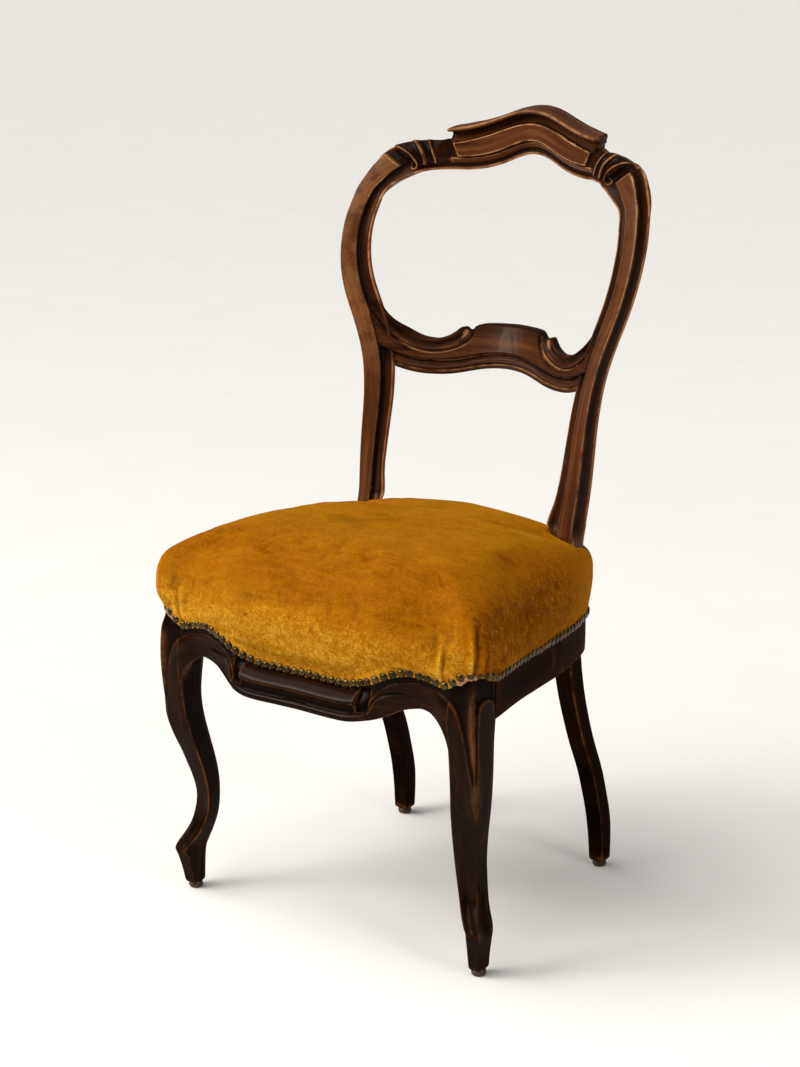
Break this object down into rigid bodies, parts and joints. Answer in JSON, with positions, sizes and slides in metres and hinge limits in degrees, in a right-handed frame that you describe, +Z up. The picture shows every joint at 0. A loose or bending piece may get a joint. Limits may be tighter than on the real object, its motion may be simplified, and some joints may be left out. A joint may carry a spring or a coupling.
{
  "type": "wooden dining chair",
  "caption": "Carved dark-wood balloon-back dining chair with cabriole front legs, sabre rear legs and a domed, close-nailed golden velvet sprung seat.",
  "frame": {"origin": "middle of the chair's box in X and Y, on the floor", "axes": "+Z up, the front of the seat faces -Y, +X to the right of a person looking at the front"},
  "size_m": [0.4606, 0.4918, 0.9072],
  "materials": {
    "polished_wood": "dark reddish-brown stained wood, old wax polish, worn lighter along the edges",
    "bare_beech": "unpolished, aged",
    "steel": "dull, coppered with age",
    "blued_tack": "blued steel",
    "jute_webbing": "woven jute",
    "hessian": "open plain weave",
    "horsehair": "curled hair",
    "cotton": "felted wadding",
    "velvet": "golden mustard cotton velvet",
    "brass_nail": "antiqued, domed head",
    "glide": "worn steel glide"
  },
  "bodies": {
    "root": {"front_leg_right": "polished_wood", "front_leg_left": "polished_wood", "rear_post_right": "polished_wood", "rear_post_left": "polished_wood", "crest_rail": "polished_wood", "mid_rail": "polished_wood", "front_seat_rail": "polished_wood", "side_seat_rail_right": "polished_wood", "side_seat_rail_left": "polished_wood", "rear_corner_rail_right": "polished_wood", "rear_corner_rail_left": "polished_wood", "rear_seat_rail": "polished_wood", "corner_block_front_right": "bare_beech", "corner_block_front_left": "bare_beech", "corner_block_rear_right": "bare_beech", "corner_block_rear_left": "bare_beech", "crest_dowels": "bare_beech", "rail_dowels": "bare_beech", "corner_block_screws": "steel", "seat_springs": "steel", "webbing_tacks": "blued_tack", "webbing_lengthwise": "jute_webbing", "webbing_crosswise": "jute_webbing", "spring_canvas": "hessian", "hair_stuffing": "horsehair", "cotton_wadding": "cotton", "seat_cover": "velvet", "cover_nails": "brass_nail", "glide_front_right": "glide", "glide_front_left": "glide", "glide_rear_right": "glide", "glide_rear_left": "glide"}
  },
  "joints": []
}
